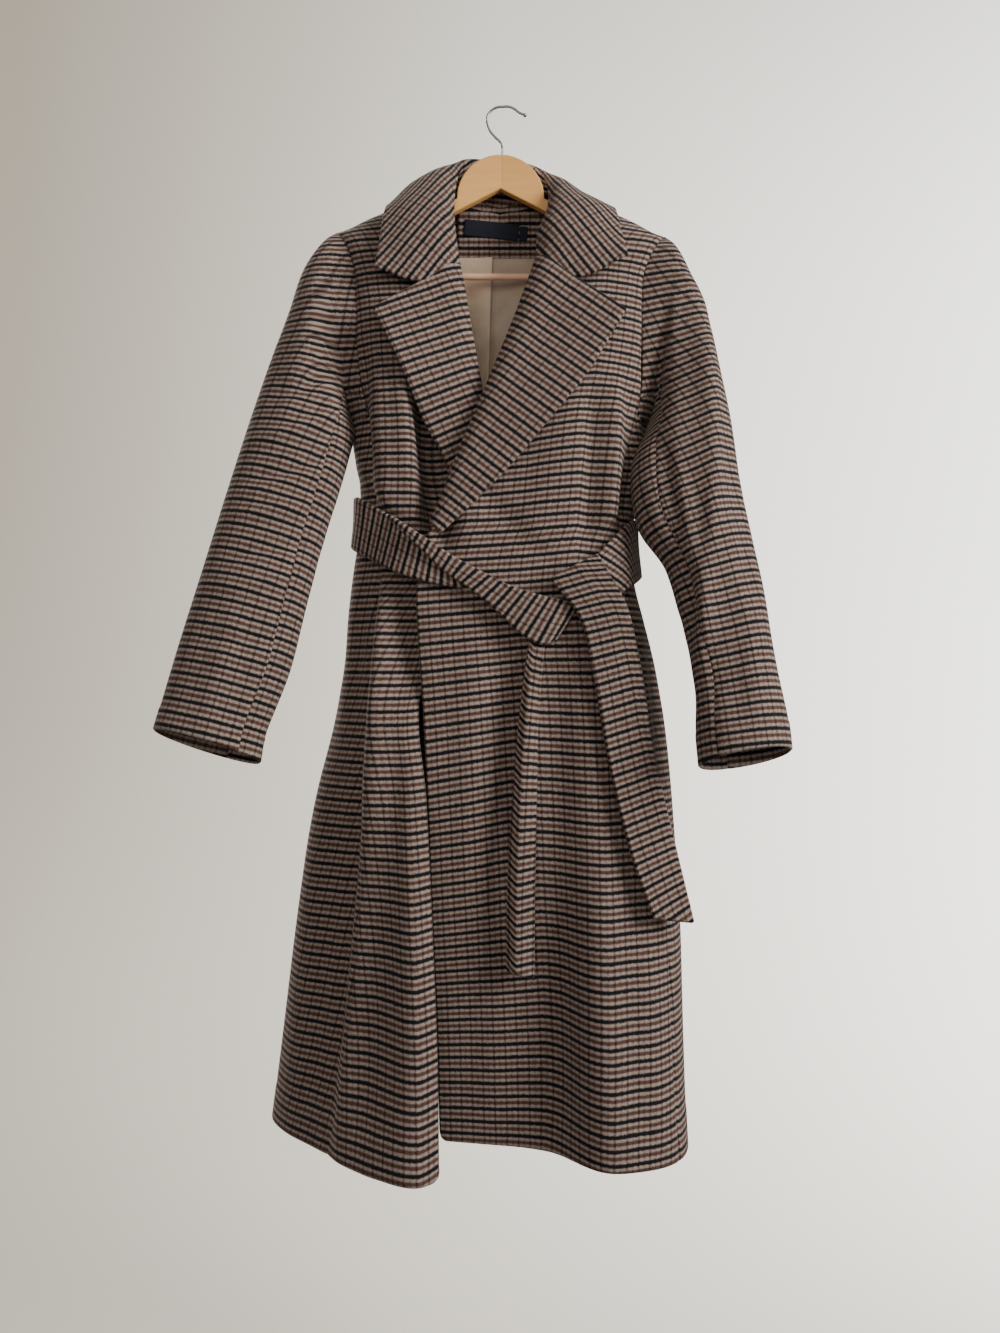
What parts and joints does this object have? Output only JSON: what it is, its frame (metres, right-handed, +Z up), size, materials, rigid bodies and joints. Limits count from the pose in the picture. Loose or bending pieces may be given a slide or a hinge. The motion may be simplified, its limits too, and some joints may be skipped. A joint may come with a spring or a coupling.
{
  "type": "wool wrap coat on wooden hanger",
  "caption": "Long checked wool wrap coat with wide notched lapels and a knotted tie belt, hanging open at the hem on a flat wooden hanger.",
  "frame": {"origin": "inside of the top of the hanger's hook, where the hanger hangs", "axes": "+Z up, the coat's front faces -Y, +X to the right as seen from the front"},
  "size_m": [0.675, 0.2321, 1.2004],
  "materials": {
    "coat_cloth": "brushed wool weave, matt",
    "lining_satin": "satin",
    "label_cloth": "woven ribbon, matt",
    "hanger_wood": "clear satin lacquer",
    "bar_wood": "plain satin",
    "hook_wire": "polished wire"
  },
  "bodies": {
    "root": {"back_left": "coat_cloth", "back_right": "coat_cloth", "side_left": "coat_cloth", "side_right": "coat_cloth", "front_left": "coat_cloth", "front_right": "coat_cloth", "lapel_left": "coat_cloth", "lapel_right": "coat_cloth", "collar": "coat_cloth", "sleeve_top_left": "coat_cloth", "sleeve_top_right": "coat_cloth", "sleeve_under_left": "coat_cloth", "sleeve_under_right": "coat_cloth", "neck_facing": "coat_cloth", "belt_wrap": "coat_cloth", "belt_turn": "coat_cloth", "belt_tail_wide": "coat_cloth", "belt_tail_narrow": "coat_cloth", "lining": "lining_satin", "neck_label": "label_cloth", "size_tag": "label_cloth", "hanger_wood": "hanger_wood", "hanger_bar": "bar_wood", "hanger_hook": "hook_wire"}
  },
  "joints": []
}
